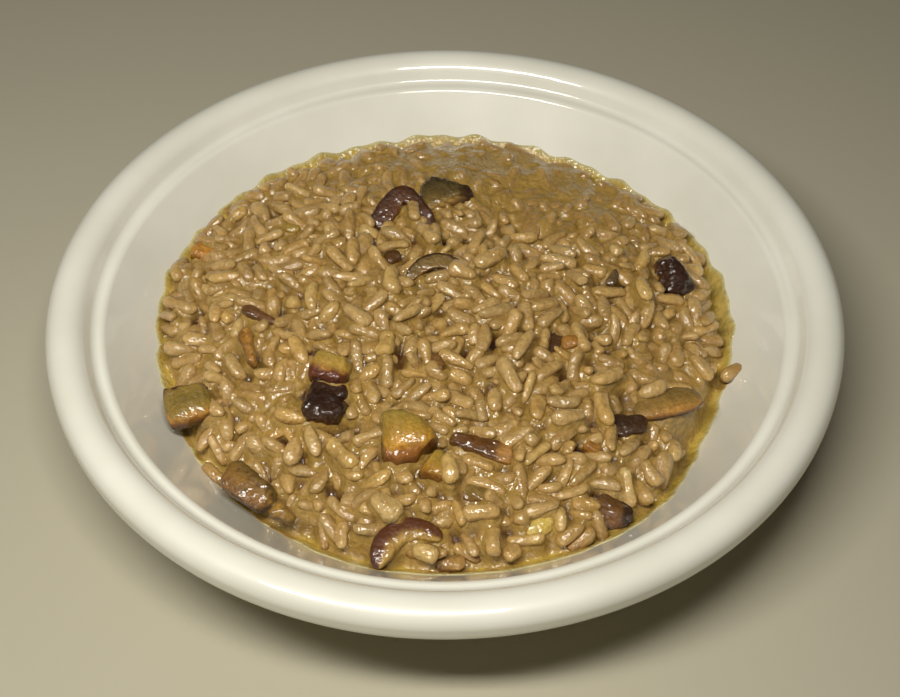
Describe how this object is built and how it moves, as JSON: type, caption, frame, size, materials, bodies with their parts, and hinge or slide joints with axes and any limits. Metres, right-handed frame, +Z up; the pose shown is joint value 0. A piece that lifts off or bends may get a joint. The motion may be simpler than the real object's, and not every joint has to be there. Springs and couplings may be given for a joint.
{
  "type": "plate of mushroom risotto",
  "caption": "Deep round plate with a rolled rim, filled with a low heap of creamy mushroom risotto in a little broth.",
  "frame": {"origin": "centre of the plate's foot ring, on the surface the plate stands on", "axes": "+Z up along the plate's axis, -Y towards the diner"},
  "size_m": [0.22, 0.22, 0.0397],
  "materials": {
    "glazed_porcelain": "glossy clear glaze over a warm white body",
    "cooked_rice": "soft cooked grains with a moist, starchy sheen; stands in for food",
    "broth": "thin starchy mushroom broth, glossy and slightly clear; stands in for food",
    "dark_cuticle": "wet dark red-brown mushroom cap skin; stands in for food",
    "amber_flesh": "soaked amber-orange mushroom flesh; stands in for food",
    "olive_flesh": "soaked olive-brown mushroom flesh; stands in for food",
    "tan_flesh": "soaked tan mushroom flesh; stands in for food",
    "onion_flesh": "softened yellow-green onion, slightly clear; stands in for food"
  },
  "bodies": {
    "root": {"plate": "glazed_porcelain", "rice_heap": "cooked_rice", "broth": "broth", "mushroom_folded_cap": "dark_cuticle", "mushroom_gill_wedge": "olive_flesh", "mushroom_arched_slice": "olive_flesh", "mushroom_dark_knob": "dark_cuticle", "mushroom_dark_strip": "dark_cuticle", "mushroom_amber_strip": "amber_flesh", "mushroom_olive_chunk": "olive_flesh", "mushroom_yellow_chunk": "amber_flesh", "mushroom_black_cap": "dark_cuticle", "mushroom_amber_chunk": "amber_flesh", "mushroom_small_chunk": "amber_flesh", "mushroom_brown_slice": "dark_cuticle", "mushroom_tan_slice": "tan_flesh", "mushroom_brown_cap": "dark_cuticle", "mushroom_mottled_cap": "amber_flesh", "mushroom_amber_scrap": "amber_flesh", "mushroom_red_crescent": "dark_cuticle", "mushroom_olive_bit": "olive_flesh", "mushroom_left_bit": "amber_flesh", "onion_piece": "onion_flesh"}
  },
  "joints": []
}
